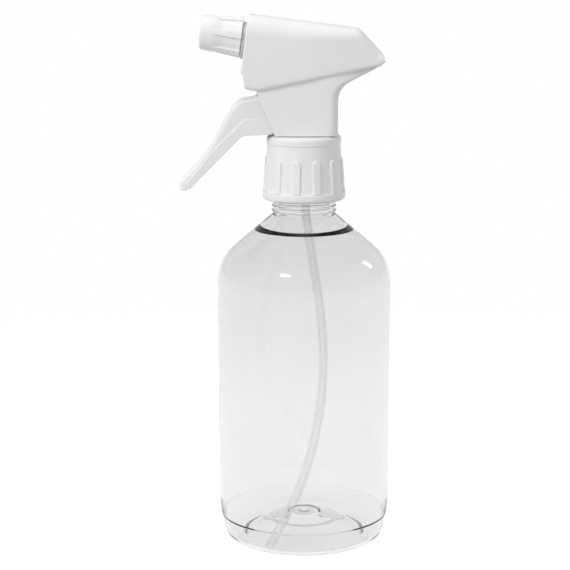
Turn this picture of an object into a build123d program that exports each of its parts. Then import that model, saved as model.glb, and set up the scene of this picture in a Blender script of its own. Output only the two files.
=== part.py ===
from build123d import *
import math
import os

# Trigger spray bottle: a clear round bottle, a screw closure and a lever-worked spray head.
# Millimetres, +Z up. The origin is the centre of the ring that the bottle stands on.
# The nozzle points to -X and the tail of the head to +X.

os.makedirs("parts", exist_ok=True)

# ------------------------------------------------------------ bottle
BODY_R = 36.5
BODY_WALL = 0.9
HEEL_Z = 17.0
BEAD_LINE_Z = 9.0
BEAD_LINE_R = 35.8
FOOT_R = 32.5
FOOT_ROUND = 5.0
FOOT_RING_IN = 25.5
PUSH_UP = 7.0
SHOULDER_CORNER_Z = 121.0
SHOULDER_ROUND = 18.0
NECK_BASE_Z = 141.0
NECK_R = 13.4
NECK_BORE_R = 10.85
NECK_TOP = 168.2
FINISH_R = 12.75
TRANSFER_BEAD_R = 14.1
TRANSFER_BEAD_Z = 144.0
TRANSFER_BEAD_H = 1.6

# ------------------------------------------------------------ neck thread, 28 mm, one and a half turns
THREAD_PITCH = 4.233
THREAD_TURNS = 1.5
THREAD_CREST_R = 13.7
THREAD_START_Z = 158.3
THREAD_HALF_ROOT = 1.1
THREAD_HALF_CREST = 0.5
CLOSURE_THREAD_DROP = 1.75

# ------------------------------------------------------------ closure
CLOSURE_BOTTOM = 147.1
CLOSURE_TOP = 174.2
CLOSURE_FLANGE_R = 17.45
CLOSURE_FLANGE_TOP = 150.8
CLOSURE_SKIRT_LOW_R = 16.6
CLOSURE_SKIRT_TOP_R = 15.45
CLOSURE_GROOVE_Z = 170.5
CLOSURE_BEAD_R = 15.75
CLOSURE_BORE_R = 14.0
CLOSURE_THREAD_CREST_R = 13.1
CLOSURE_WEB_BOTTOM = 172.2
CLOSURE_HOLE_R = 10.3
RIB_COUNT = 12
RIB_TOP_Z = 164.8
RIB_WIDTH = 3.0
RIB_FIRST_DEG = 19.0

# ------------------------------------------------------------ seal, tube retainer and inlet valve
GASKET_OUT_R = 12.6
GASKET_IN_R = 9.0
GASKET_H = 1.5
RETAINER_FLANGE_R = 12.4
RETAINER_FLANGE_TOP = 171.9
RETAINER_HUB_R = 5.0
RETAINER_HUB_TOP = 173.8
RETAINER_SOCKET_R = 3.4
RETAINER_SOCKET_BOTTOM = 156.0
TUBE_R = 1.95
TUBE_BORE_R = 1.35
TUBE_TOP = 167.0
VALVE_SEAT_Z = 169.0
VALVE_SEAT_R = 1.1
VALVE_CHAMBER_R = 2.25
BALL_R = 1.9

# The route of the dip tube's centre line, top to bottom, in one upright plane that is turned
# TUBE_PLANE_DEG from +X. Each pair is the distance along that plane and the height.
TUBE_PLANE_DEG = 62.6
TUBE_ROUTE = [
    (0.0, TUBE_TOP),
    (0.0, 145.5),
    (6.8, 122.0),
    (15.6, 98.0),
    (19.4, 72.0),
    (14.8, 47.0),
    (1.5, 26.0),
    (-15.5, 12.0),
    (-31.2, 3.6),
]
ARC_SHARE = 0.45

# ------------------------------------------------------------ pump body and piston
PLUG_R = 9.9
PLUG_TOP = 174.3
BODY_FLOOR_TOP = 175.4
CYLINDER_Z = 180.9
CYLINDER_BORE_R = 5.6
CYLINDER_OUT_R = 6.4
CYLINDER_FRONT_X = -11.0
CYLINDER_BORE_END_X = 6.0
CYLINDER_END_X = 7.5
INLET_SLOT = (4.4, 1.2)
RISER_X = 3.5
RISER_OUT_R = 3.2
RISER_BORE_R = 1.2
RISER_TOP = 206.0
PISTON_HEAD_R = 5.35
PISTON_HEAD_FRONT_X = -10.2
PISTON_HEAD_BACK_X = -4.6
PISTON_ROD_R = 2.6
PISTON_ROD_FRONT_X = -15.9
SEAL_R = 5.57
SEAL_GROOVE_R = 4.3
SEAL_WIDTH = 1.5
REAR_SEAL_X = -6.8
FRONT_SEAL_X = -9.6
SPRING_MEAN_R = 3.6
SPRING_WIRE_R = 0.4
SPRING_TURNS = 6

# ------------------------------------------------------------ trigger
TRIGGER_PIVOT = (-15.8, 191.2)
TRIGGER_HALF_W = 8.2
TRIGGER_CHEEK = 1.5
TRIGGER_NOSE_REACH = 10.4
TRIGGER_NOSE_R = 1.6
TRIGGER_SQUEEZE_DEG = 22.0
PIN_R = 1.5
PIN_CLEARANCE = 0.06
PIN_HALF_LENGTH = 9.7

# ------------------------------------------------------------ neck housing
HOUSING_HALF_W = 10.4
HOUSING_WALL = 1.4
HOUSING_BOTTOM = 174.5
HOUSING_REAR_X = 14.1
HOUSING_REAR_CURVE_R = 9.0
HOUSING_EDGE_R = 3.5
HOUSING_TAPER_X = 12.0
HOUSING_TAIL_X = 34.0
HOUSING_TAIL_HALF_W = 6.8

# ------------------------------------------------------------ tilted upper head
# The nozzle, the barrel and the shroud share one axis that rises to the front by HEAD_TILT_DEG.
# Places on it are (u, w): u runs along the axis to the rear from the nozzle's rear edge, w across it.
HEAD_TILT_DEG = 7.6
NOZZLE_REAR = (-25.7, 214.5)
NOZZLE_LENGTH = 17.4
NOZZLE_FRONT_R = 6.95
NOZZLE_REAR_R = 8.75
NOZZLE_BORE_R = 5.8
NOZZLE_BORE_DEPTH = 14.4
NOZZLE_EDGE_R = 1.3
ORIFICE_R = 0.35
FLUTE_COUNT = 6
FLUTE_LENGTH = 11.6
FLUTE_WIDTH = 5.4
FLUTE_DEPTH = 0.95
FLUTE_FIRST_DEG = 50.0
COLLAR_R = 7.65
COLLAR_DROP = 1.1
COLLAR_FRONT_U = 0.2
COLLAR_REAR_U = 3.6
SPOUT_R = 4.8
SPOUT_TIP_U = -13.5
BARREL_R = 5.0
BARREL_BORE_R = 2.6
BARREL_END_U = 34.0
BARREL_BORE_END_U = 31.5
SPIGOT_R = 4.6
SPIGOT_BOTTOM = 200.5
OUTLET_SEAT_U = 24.0
OUTLET_SEAT_R = 1.1
OUTLET_SEAT_LENGTH = 2.0
OUTLET_BALL_R = 1.9
OUTLET_SPRING_R = 1.8
OUTLET_SPRING_WIRE_R = 0.25
OUTLET_SPRING_LENGTH = 9.0
SPOUT_THREAD_PITCH = 2.0
SPOUT_THREAD_CREST_R = 5.45
CAP_THREAD_CREST_R = 5.15
RING_U = -10.8
RING_MEAN_R = 5.35
RING_SECTION_R = 0.52

SHROUD_HALF_W = 12.2
SHROUD_WALL = 1.4
SHROUD_TOP_ROUND = 8.0
SHROUD_FRONT_U = 1.6
SHROUD_TOP_W = 10.1
SHROUD_TAPER_X = 5.0
SHROUD_TAIL_HALF_W = 9.0
SHROUD_OPENING_HALF_W = 10.6


# ------------------------------------------------------------ helpers
def outline(points, radii):
    """A closed face with corner i rounded to radii[i]; a radius of 0 stays sharp."""
    return make_face(FilletPolyline(*points, radius=radii, close=True))


def turned(points, radii=None):
    """A solid of revolution about Z from an outline of (radius, height) points."""
    shape = outline(points, radii or [0.0] * len(points))
    return revolve(Plane.XZ * shape, Axis.Z)


def slab(points, radii, half_width):
    """A side outline of (x, z) points, extruded to half_width on both sides of y = 0."""
    return extrude(Plane.XZ * outline(points, radii), half_width, both=True)


def rod_z(radius, low, high):
    return Pos(0, 0, (low + high) / 2) * Cylinder(radius, high - low)


def rod_x(radius, low, high, height=CYLINDER_Z):
    place = Plane((low, 0, height), x_dir=(0, 1, 0), z_dir=(1, 0, 0))
    return extrude(place * Circle(radius), high - low)


def rod_y(radius, x, z, half_length):
    place = Plane((x, 0, z), x_dir=(1, 0, 0), z_dir=(0, -1, 0))
    return extrude(place * Circle(radius), half_length, both=True)


def on_axis(u, w=0.0):
    """The (x, z) place of a point given along and across the head's tilted axis."""
    tilt = math.radians(HEAD_TILT_DEG)
    x = NOZZLE_REAR[0] + u * math.cos(tilt) + w * math.sin(tilt)
    z = NOZZLE_REAR[1] - u * math.sin(tilt) + w * math.cos(tilt)
    return x, z


def axis_plane(u, w=0.0):
    """A plane across the tilted axis at u, facing the rear, with its own X along the row's +Y."""
    tilt = math.radians(HEAD_TILT_DEG)
    x, z = on_axis(u, w)
    return Plane((x, 0, z), x_dir=(0, 1, 0), z_dir=(math.cos(tilt), 0, -math.sin(tilt)))


def rod_u(radius, start, end, w=0.0):
    return extrude(axis_plane(start, w) * Circle(radius), end - start)


def thread_ridge(root_r, crest_r, start, pitch, turns, half_root, half_crest):
    """A helical ridge about Z. Its root is sunk a little into the wall that it stands on."""
    sink = math.copysign(0.25, root_r - crest_r)
    helix = Helix(pitch, pitch * turns, root_r, center=(0, 0, start))
    place = Plane(helix @ 0, x_dir=(1, 0, 0), z_dir=helix % 0)
    section = Polyline(
        (sink, -half_root),
        (crest_r - root_r, -half_crest),
        (crest_r - root_r, half_crest),
        (sink, half_root),
        close=True,
    )
    return sweep(place * make_face(section), path=helix, is_frenet=True)


def coil(pitch, turns, mean_r, wire_r):
    """A spring about Z that starts at z = 0."""
    helix = Helix(pitch, pitch * turns, mean_r)
    place = Plane(helix @ 0, z_dir=helix % 0)
    return sweep(place * Circle(wire_r), path=helix, is_frenet=True)


def to_x(shape, x, height):
    """Turns a shape made about Z so that it lies along +X from x at the given height."""
    return Pos(x, 0, height) * Rot(0, 90, 0) * shape


def to_axis(shape, u):
    """Turns a shape made about Z so that it lies along the head's axis, from u to the rear."""
    x, z = on_axis(u)
    return Pos(x, 0, z) * Rot(0, 90 + HEAD_TILT_DEG, 0) * shape


# ------------------------------------------------------------ bottle
def make_bottle():
    outer = turned(
        [
            (0, 0),
            (FOOT_R, 0),
            (BEAD_LINE_R, BEAD_LINE_Z),
            (BODY_R, HEEL_Z),
            (BODY_R, SHOULDER_CORNER_Z),
            (NECK_R, NECK_BASE_Z),
            (NECK_R, NECK_TOP - 18.0),
            (FINISH_R, NECK_TOP - 18.0),
            (FINISH_R, NECK_TOP),
            (0, NECK_TOP),
        ],
        [0, FOOT_ROUND, 4.0, 8.0, SHOULDER_ROUND, 2.5, 0, 0, 0, 0],
    )
    inner_r = BODY_R - BODY_WALL
    inner = turned(
        [
            (0, PUSH_UP + BODY_WALL),
            (FOOT_RING_IN - 1.5, BODY_WALL),
            (FOOT_R - BODY_WALL, BODY_WALL),
            (BEAD_LINE_R - BODY_WALL, BEAD_LINE_Z),
            (inner_r, HEEL_Z),
            (inner_r, SHOULDER_CORNER_Z - 0.6),
            (NECK_BORE_R, NECK_BASE_Z + 0.6),
            (NECK_BORE_R, NECK_TOP + 1),
            (0, NECK_TOP + 1),
        ],
        [0, 3.0, FOOT_ROUND - BODY_WALL, 4.0, 8.0, SHOULDER_ROUND - BODY_WALL, 3.5, 0, 0],
    )
    under = turned([(0, -1), (FOOT_RING_IN, -1), (FOOT_RING_IN, 0), (0, PUSH_UP)])
    bead = turned(
        [
            (NECK_BORE_R + 1, TRANSFER_BEAD_Z - TRANSFER_BEAD_H / 2),
            (TRANSFER_BEAD_R, TRANSFER_BEAD_Z - TRANSFER_BEAD_H / 2),
            (TRANSFER_BEAD_R, TRANSFER_BEAD_Z + TRANSFER_BEAD_H / 2),
            (NECK_BORE_R + 1, TRANSFER_BEAD_Z + TRANSFER_BEAD_H / 2),
        ],
        [0, 0.5, 0.5, 0],
    )
    ridge = thread_ridge(
        FINISH_R,
        THREAD_CREST_R,
        THREAD_START_Z,
        THREAD_PITCH,
        THREAD_TURNS,
        THREAD_HALF_ROOT,
        THREAD_HALF_CREST,
    )
    return (outer + bead + ridge) - inner - under


# ------------------------------------------------------------ closure
def make_closure_cap():
    shell = turned(
        [
            (CLOSURE_BORE_R, CLOSURE_BOTTOM),
            (CLOSURE_FLANGE_R, CLOSURE_BOTTOM),
            (CLOSURE_FLANGE_R, CLOSURE_FLANGE_TOP),
            (CLOSURE_SKIRT_LOW_R, CLOSURE_FLANGE_TOP),
            (CLOSURE_SKIRT_TOP_R, CLOSURE_GROOVE_Z),
            (CLOSURE_BEAD_R, CLOSURE_GROOVE_Z + 0.4),
            (CLOSURE_BEAD_R, CLOSURE_TOP),
            (CLOSURE_HOLE_R, CLOSURE_TOP),
            (CLOSURE_HOLE_R, CLOSURE_WEB_BOTTOM),
            (CLOSURE_BORE_R, CLOSURE_WEB_BOTTOM),
        ],
        [0, 1.4, 0.5, 0, 0, 0, 1.8, 0.4, 0, 0],
    )
    low, high = CLOSURE_FLANGE_TOP - 1.0, RIB_TOP_Z
    rib = Box(2.0, RIB_WIDTH, high - low)
    rib = fillet(rib.edges().filter_by(Axis.X).group_by(Axis.Z)[-1], RIB_WIDTH * 0.48)
    rib = Pos(CLOSURE_SKIRT_LOW_R - 0.75, 0, (low + high) / 2) * rib
    cone = turned(
        [
            (0, low),
            (CLOSURE_SKIRT_LOW_R + 0.55, low),
            (CLOSURE_SKIRT_TOP_R + 0.75, CLOSURE_GROOVE_Z),
            (0, CLOSURE_GROOVE_Z),
        ]
    )
    for i in range(RIB_COUNT):
        turn = RIB_FIRST_DEG - 90 + i * 360 / RIB_COUNT
        shell += (Rot(0, 0, turn) * rib) & cone
    ridge = thread_ridge(
        CLOSURE_BORE_R,
        CLOSURE_THREAD_CREST_R,
        THREAD_START_Z - CLOSURE_THREAD_DROP,
        THREAD_PITCH,
        THREAD_TURNS,
        0.95,
        0.45,
    )
    bore = rod_z(CLOSURE_BORE_R, CLOSURE_BOTTOM - 1, CLOSURE_WEB_BOTTOM)
    return (shell - bore) + ridge


def make_closure_gasket():
    return rod_z(GASKET_OUT_R, NECK_TOP, NECK_TOP + GASKET_H) - rod_z(
        GASKET_IN_R, NECK_TOP, NECK_TOP + GASKET_H
    )


# ------------------------------------------------------------ tube retainer, tube and inlet ball
def make_tube_retainer():
    flange_bottom = NECK_TOP + GASKET_H
    body = rod_z(RETAINER_FLANGE_R, flange_bottom, RETAINER_FLANGE_TOP)
    body += rod_z(RETAINER_HUB_R, RETAINER_FLANGE_TOP, RETAINER_HUB_TOP)
    body += rod_z(RETAINER_SOCKET_R, RETAINER_SOCKET_BOTTOM, flange_bottom)
    body -= rod_z(TUBE_R, RETAINER_SOCKET_BOTTOM, TUBE_TOP)
    body -= rod_z(VALVE_SEAT_R, TUBE_TOP, VALVE_SEAT_Z)
    body -= rod_z(VALVE_CHAMBER_R, VALVE_SEAT_Z, RETAINER_HUB_TOP)
    vent = Pos(7.0, 0, flange_bottom + 1) * Cylinder(0.5, 6)
    return body - vent


def tube_points():
    turn = math.radians(TUBE_PLANE_DEG)
    return [(s * math.cos(turn), s * math.sin(turn), z) for s, z in TUBE_ROUTE]


def arc_radii(points):
    """The largest arc for each corner that its two runs allow."""
    radii = []
    for before, corner, after in zip(points, points[1:], points[2:]):
        into = Vector(*corner) - Vector(*before)
        out = Vector(*after) - Vector(*corner)
        half_turn = math.radians(into.get_angle(out)) / 2
        radii.append(ARC_SHARE * min(into.length, out.length) / math.tan(half_turn))
    return radii


def make_dip_tube():
    points = tube_points()
    radii = arc_radii(points)
    print("dip tube arc radii", [round(r, 1) for r in radii])
    path = FilletPolyline(*points, radius=radii)
    start = Plane(path @ 0, z_dir=path % 0)
    tube = sweep(start * (Circle(TUBE_R) - Circle(TUBE_BORE_R)), path=path)
    section = math.pi * (TUBE_R**2 - TUBE_BORE_R**2)
    length = sum(edge.length for edge in path.edges())
    print("dip tube length", round(length, 1), "volume ratio", round(tube.volume / section / length, 4))
    return tube


def make_inlet_ball():
    rise = math.sqrt(BALL_R**2 - VALVE_SEAT_R**2)
    return Pos(0, 0, VALVE_SEAT_Z + rise + 0.02) * Sphere(BALL_R)


# ------------------------------------------------------------ pump
def make_pump_body():
    body = rod_z(PLUG_R, RETAINER_FLANGE_TOP, PLUG_TOP)
    body += rod_z(HOUSING_HALF_W - HOUSING_WALL - 0.3, PLUG_TOP, BODY_FLOOR_TOP)
    body += rod_x(CYLINDER_OUT_R, CYLINDER_FRONT_X, CYLINDER_END_X)
    riser = Pos(RISER_X, 0, (CYLINDER_Z + RISER_TOP) / 2) * Cylinder(
        RISER_OUT_R, RISER_TOP - CYLINDER_Z
    )
    body += riser
    web = Box(1.6, 2 * (HOUSING_HALF_W - HOUSING_WALL), 14)
    body += Pos(CYLINDER_END_X - 0.8, 0, CYLINDER_Z + 3) * web
    body -= rod_x(CYLINDER_BORE_R, CYLINDER_FRONT_X, CYLINDER_BORE_END_X)
    body -= rod_z(RETAINER_HUB_R, RETAINER_FLANGE_TOP, RETAINER_HUB_TOP)
    slot_length, slot_width = INLET_SLOT
    body -= Pos(0, 0, RETAINER_HUB_TOP + 1.5) * Box(slot_length, slot_width, 3)
    body -= Pos(RISER_X, 0, (CYLINDER_Z + RISER_TOP) / 2) * Cylinder(
        RISER_BORE_R, RISER_TOP - CYLINDER_Z
    )
    return body


def seal_ring(x):
    return rod_x(SEAL_R, x, x + SEAL_WIDTH) - rod_x(SEAL_GROOVE_R, x, x + SEAL_WIDTH)


def make_piston():
    piston = rod_x(PISTON_ROD_R, PISTON_ROD_FRONT_X, PISTON_HEAD_FRONT_X)
    piston += rod_x(PISTON_HEAD_R, PISTON_HEAD_FRONT_X, PISTON_HEAD_BACK_X)
    for x in (REAR_SEAL_X, FRONT_SEAL_X):
        ring = rod_x(PISTON_HEAD_R + 1, x, x + SEAL_WIDTH)
        piston -= ring - rod_x(SEAL_GROOVE_R, x, x + SEAL_WIDTH)
    return piston


def make_return_spring():
    length = CYLINDER_BORE_END_X - PISTON_HEAD_BACK_X - 2 * SPRING_WIRE_R - 0.2
    spring = coil(length / SPRING_TURNS, SPRING_TURNS, SPRING_MEAN_R, SPRING_WIRE_R)
    return to_x(spring, PISTON_HEAD_BACK_X + SPRING_WIRE_R + 0.1, CYLINDER_Z)


# ------------------------------------------------------------ trigger
def make_trigger():
    body = slab(
        [
            (-27.0, 188.9),
            (-30.0, 186.0),
            (-40.1, 168.1),
            (-46.1, 160.7),
            (-51.8, 155.2),
            (-52.0, 152.3),
            (-50.2, 151.5),
            (-47.2, 152.6),
            (-25.7, 174.1),
            (-12.8, 174.8),
            (-10.8, 178.5),
            (-12.4, 193.0),
            (-18.4, 193.4),
            (-20.5, 189.9),
        ],
        [2.0, 3.0, 25.0, 14.0, 1.5, 1.5, 1.0, 2.5, 4.0, 1.0, 2.0, 2.4, 2.0, 1.5],
        TRIGGER_HALF_W,
    )
    hollow = slab(
        [
            (-25.8, 187.1),
            (-28.4, 184.8),
            (-38.5, 167.0),
            (-43.6, 160.7),
            (-38.0, 155.0),
            (-5.0, 165.0),
            (-5.0, 200.0),
            (-18.6, 200.0),
            (-19.4, 188.0),
        ],
        [1.0, 2.0, 20.0, 1.0, 0, 0, 0, 0, 1.0],
        TRIGGER_HALF_W - TRIGGER_CHEEK,
    )
    pivot_x, pivot_z = TRIGGER_PIVOT
    lean = math.radians(TRIGGER_SQUEEZE_DEG / 2)
    nose_x = pivot_x - TRIGGER_NOSE_REACH * math.sin(lean)
    nose_z = pivot_z - TRIGGER_NOSE_REACH * math.cos(lean)
    nose = rod_y(TRIGGER_NOSE_R, nose_x, nose_z, TRIGGER_HALF_W - 0.5)
    pin_hole = rod_y(PIN_R + PIN_CLEARANCE, pivot_x, pivot_z, TRIGGER_HALF_W + 1)
    trigger = (body - hollow) + nose - pin_hole
    return trigger


def make_trigger_pin():
    return rod_y(PIN_R, TRIGGER_PIVOT[0], TRIGGER_PIVOT[1], PIN_HALF_LENGTH)


# ------------------------------------------------------------ neck housing
def make_neck_housing():
    block = slab(
        [
            (-12.0, HOUSING_BOTTOM),
            (HOUSING_REAR_X, HOUSING_BOTTOM),
            (HOUSING_REAR_X, 194.3),
            (31.0, 202.5),
            (28.0, 205.2),
            (-18.0, 196.5),
            (-19.5, 193.0),
        ],
        [0, 0, HOUSING_REAR_CURVE_R, 0.6, 0.6, 0.5, 0.3],
        HOUSING_HALF_W,
    )
    plan = outline(
        [
            (-40, -HOUSING_HALF_W),
            (HOUSING_REAR_X, -HOUSING_HALF_W),
            (HOUSING_REAR_X, HOUSING_HALF_W),
            (-40, HOUSING_HALF_W),
        ],
        [0, HOUSING_EDGE_R, HOUSING_EDGE_R, 0],
    )
    tail_plan = outline(
        [
            (-40, -HOUSING_HALF_W),
            (HOUSING_TAPER_X, -HOUSING_HALF_W),
            (HOUSING_TAIL_X, -HOUSING_TAIL_HALF_W),
            (HOUSING_TAIL_X, HOUSING_TAIL_HALF_W),
            (HOUSING_TAPER_X, HOUSING_HALF_W),
            (-40, HOUSING_HALF_W),
        ],
        [0, 8, 5, 5, 8, 0],
    )
    column = extrude(Pos(0, 0, HOUSING_BOTTOM) * plan, 194.0 - HOUSING_BOTTOM, dir=(0, 0, 1))
    upper = extrude(Pos(0, 0, 190.0) * tail_plan, 20, dir=(0, 0, 1))
    block = block & (column + upper)
    inner_rear = HOUSING_REAR_X - HOUSING_WALL
    inner = slab(
        [
            (-40, HOUSING_BOTTOM - 1),
            (inner_rear, HOUSING_BOTTOM - 1),
            (inner_rear, 195.2),
            (26.0, 202.0),
            (26.0, 215.0),
            (-40, 215.0),
        ],
        [0, 0, HOUSING_REAR_CURVE_R + HOUSING_WALL, 0, 0, 0],
        HOUSING_HALF_W - HOUSING_WALL,
    )
    sockets = rod_y(PIN_R, TRIGGER_PIVOT[0], TRIGGER_PIVOT[1], PIN_HALF_LENGTH)
    return block - inner - sockets


# ------------------------------------------------------------ barrel, valve and nozzle
def make_spray_barrel():
    barrel = rod_u(BARREL_R, COLLAR_FRONT_U, BARREL_END_U)
    barrel += rod_u(COLLAR_R, COLLAR_FRONT_U, COLLAR_REAR_U, -COLLAR_DROP)
    barrel += rod_u(SPOUT_R, SPOUT_TIP_U, COLLAR_FRONT_U)
    top = on_axis(29.3)[1]
    spigot = Pos(RISER_X, 0, (SPIGOT_BOTTOM + top) / 2) * Cylinder(SPIGOT_R, top - SPIGOT_BOTTOM)
    barrel += spigot
    ridge = thread_ridge(SPOUT_R, SPOUT_THREAD_CREST_R, 0, SPOUT_THREAD_PITCH, 2.5, 0.45, 0.2)
    barrel += to_axis(ridge, -8.0)
    barrel -= rod_u(BARREL_BORE_R, SPOUT_TIP_U, OUTLET_SEAT_U)
    barrel -= rod_u(OUTLET_SEAT_R, OUTLET_SEAT_U, OUTLET_SEAT_U + OUTLET_SEAT_LENGTH)
    barrel -= rod_u(BARREL_BORE_R, OUTLET_SEAT_U + OUTLET_SEAT_LENGTH, BARREL_BORE_END_U)
    socket = Pos(RISER_X, 0, (SPIGOT_BOTTOM + RISER_TOP) / 2) * Cylinder(
        RISER_OUT_R, RISER_TOP - SPIGOT_BOTTOM
    )
    passage = Pos(RISER_X, 0, (RISER_TOP + top) / 2) * Cylinder(RISER_BORE_R, top - RISER_TOP)
    return barrel - socket - passage


def outlet_ball_u():
    rise = math.sqrt(OUTLET_BALL_R**2 - OUTLET_SEAT_R**2)
    return OUTLET_SEAT_U - rise - 0.02


def make_outlet_ball():
    x, z = on_axis(outlet_ball_u())
    return Pos(x, 0, z) * Sphere(OUTLET_BALL_R)


def outlet_spring_front_u():
    return outlet_ball_u() - OUTLET_BALL_R - 0.1 - OUTLET_SPRING_LENGTH


def make_outlet_spring():
    turns = 8
    length = OUTLET_SPRING_LENGTH - 2 * OUTLET_SPRING_WIRE_R
    spring = coil(length / turns, turns, OUTLET_SPRING_R, OUTLET_SPRING_WIRE_R)
    return to_axis(spring, outlet_spring_front_u() + OUTLET_SPRING_WIRE_R)


def make_swirl_insert():
    rear = outlet_spring_front_u() - 0.1
    insert = rod_u(BARREL_BORE_R - 0.9, SPOUT_TIP_U + 2.0, rear - 1.0)
    insert += rod_u(BARREL_BORE_R, SPOUT_TIP_U + 0.2, SPOUT_TIP_U + 2.0)
    insert += rod_u(BARREL_BORE_R, rear - 1.0, rear)
    flats = axis_plane(SPOUT_TIP_U - 1) * (Rectangle(0.8, 8) + Rectangle(8, 0.8))
    core = rod_u(1.2, SPOUT_TIP_U - 1, rear + 1)
    return insert - (extrude(flats, rear - SPOUT_TIP_U + 2) - core)


def make_nozzle_cap():
    cone = turned(
        [
            (0, -NOZZLE_LENGTH),
            (NOZZLE_FRONT_R, -NOZZLE_LENGTH),
            (NOZZLE_REAR_R, 0),
            (0, 0),
        ],
        [0, NOZZLE_EDGE_R, 0.5, 0],
    )
    bore = rod_z(NOZZLE_BORE_R, -NOZZLE_BORE_DEPTH, 1)
    ring_groove = rod_z(RING_MEAN_R + 0.57, RING_U - 0.7, RING_U + 0.7)
    cap = cone - bore - ring_groove
    cap -= rod_z(ORIFICE_R, -NOZZLE_LENGTH - 1, 0)
    cap -= rod_z(2.2, -NOZZLE_LENGTH - 1, -NOZZLE_LENGTH + 0.5)
    flute_r = NOZZLE_REAR_R - FLUTE_DEPTH
    lean = math.degrees(math.atan2(NOZZLE_REAR_R - NOZZLE_FRONT_R, NOZZLE_LENGTH))
    flute = Pos(5, 0, 1 - FLUTE_LENGTH / 2) * Box(10, FLUTE_WIDTH, FLUTE_LENGTH + 2)
    flute = Pos(flute_r, 0, 0) * Rot(0, lean, 0) * flute
    for i in range(FLUTE_COUNT):
        cap -= Rot(0, 0, FLUTE_FIRST_DEG + i * 360 / FLUTE_COUNT) * flute
    ridge = thread_ridge(
        NOZZLE_BORE_R, CAP_THREAD_CREST_R, -7.0, SPOUT_THREAD_PITCH, 1.5, 0.45, 0.2
    )
    return to_axis(cap + ridge, 0)


def make_nozzle_ring():
    ring = Torus(RING_MEAN_R, RING_SECTION_R)
    return to_axis(ring, RING_U)


# ------------------------------------------------------------ shroud
def shroud_block(inset):
    """The shroud's solid envelope, all its outer faces moved in by inset."""
    corners = [
        on_axis(SHROUD_FRONT_U, SHROUD_TOP_W),
        on_axis(47.8, SHROUD_TOP_W),
        on_axis(62.6, -2.1),
        on_axis(9.0, -20.5),
        on_axis(3.9, -20.0),
        on_axis(SHROUD_FRONT_U, -11.5),
    ]
    face = outline(corners, [0.8, 4.0, 3.0, 0.6, 0.8, 5.0])
    if inset:
        face = offset(face, -inset)
    body = extrude(Plane.XZ * face, SHROUD_HALF_W + 1, both=True)
    half = SHROUD_HALF_W - inset
    tail = SHROUD_TAIL_HALF_W - inset
    wide = half + 1
    plan = outline(
        [
            (-40, -wide),
            (SHROUD_TAPER_X, -wide),
            (45, -tail),
            (45, tail),
            (SHROUD_TAPER_X, wide),
            (-40, wide),
        ],
        [0, 8, 0, 0, 8, 0],
    )
    body = body & extrude(Pos(0, 0, 180) * plan, 60, dir=(0, 0, 1))
    arch = outline(
        [(-half, -40), (half, -40), (half, SHROUD_TOP_W - inset), (-half, SHROUD_TOP_W - inset)],
        [0, 0, SHROUD_TOP_ROUND - inset, SHROUD_TOP_ROUND - inset],
    )
    place = axis_plane(-5)
    return body & extrude(place * arch, 80, dir=place.z_dir)


def make_shroud():
    opening = slab(
        [
            on_axis(7.6, -16.0),
            on_axis(7.6, -24.0),
            on_axis(62.0, -6.0),
            on_axis(57.0, -1.5),
            on_axis(50.0, -1.5),
        ],
        [0] * 5,
        SHROUD_OPENING_HALF_W,
    )
    collar_hole = rod_u(COLLAR_R + 0.2, -1, COLLAR_REAR_U + 2, -COLLAR_DROP)
    return shroud_block(0.0) - shroud_block(SHROUD_WALL) - opening - collar_hole


MAKERS = {
    "bottle": make_bottle,
    "closure_cap": make_closure_cap,
    "closure_gasket": make_closure_gasket,
    "tube_retainer": make_tube_retainer,
    "dip_tube": make_dip_tube,
    "inlet_ball": make_inlet_ball,
    "pump_body": make_pump_body,
    "piston": make_piston,
    "piston_seal": lambda: seal_ring(REAR_SEAL_X),
    "vent_seal": lambda: seal_ring(FRONT_SEAL_X),
    "return_spring": make_return_spring,
    "trigger": make_trigger,
    "trigger_pin": make_trigger_pin,
    "neck_housing": make_neck_housing,
    "spray_barrel": make_spray_barrel,
    "outlet_ball": make_outlet_ball,
    "outlet_spring": make_outlet_spring,
    "swirl_insert": make_swirl_insert,
    "nozzle_cap": make_nozzle_cap,
    "nozzle_ring": make_nozzle_ring,
    "shroud": make_shroud,
}

for node, make in MAKERS.items():
    export_step(make(), f"parts/{node}.step")
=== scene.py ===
import math

import bmesh
import bpy
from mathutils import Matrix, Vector


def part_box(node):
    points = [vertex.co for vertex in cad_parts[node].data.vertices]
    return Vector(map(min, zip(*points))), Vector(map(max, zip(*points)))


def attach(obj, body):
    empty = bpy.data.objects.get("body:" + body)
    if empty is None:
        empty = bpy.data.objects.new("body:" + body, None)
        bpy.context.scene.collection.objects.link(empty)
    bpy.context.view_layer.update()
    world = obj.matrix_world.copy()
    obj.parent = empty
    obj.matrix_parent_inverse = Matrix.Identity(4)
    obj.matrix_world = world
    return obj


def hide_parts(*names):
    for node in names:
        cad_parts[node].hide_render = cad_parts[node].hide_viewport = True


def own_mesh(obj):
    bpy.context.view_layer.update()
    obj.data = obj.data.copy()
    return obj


# A clear trigger spray bottle. The object's sizes are in millimetres until a mesh is made; MM brings them to
# metres. The camera, the lamps and the floor are in metres.
# +Z is up, the nozzle points to -X and the side that faces the camera is -Y.
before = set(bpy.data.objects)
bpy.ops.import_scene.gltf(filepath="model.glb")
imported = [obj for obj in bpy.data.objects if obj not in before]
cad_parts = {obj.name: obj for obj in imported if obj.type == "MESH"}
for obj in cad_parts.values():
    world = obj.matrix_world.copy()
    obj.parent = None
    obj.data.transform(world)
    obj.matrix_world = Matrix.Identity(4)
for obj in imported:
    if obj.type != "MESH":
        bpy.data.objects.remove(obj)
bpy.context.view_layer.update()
MM = 0.001
TAU = 2 * math.pi
MERGE_M = 2e-6
SLIVER_M = 1e-7
TINY = 1e-9
PIECE_CREASE_DEG = 40.0
FINISHED_CREASE_DEG = 35.0
RIM_ANGLE_DEG = 50.0


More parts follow.
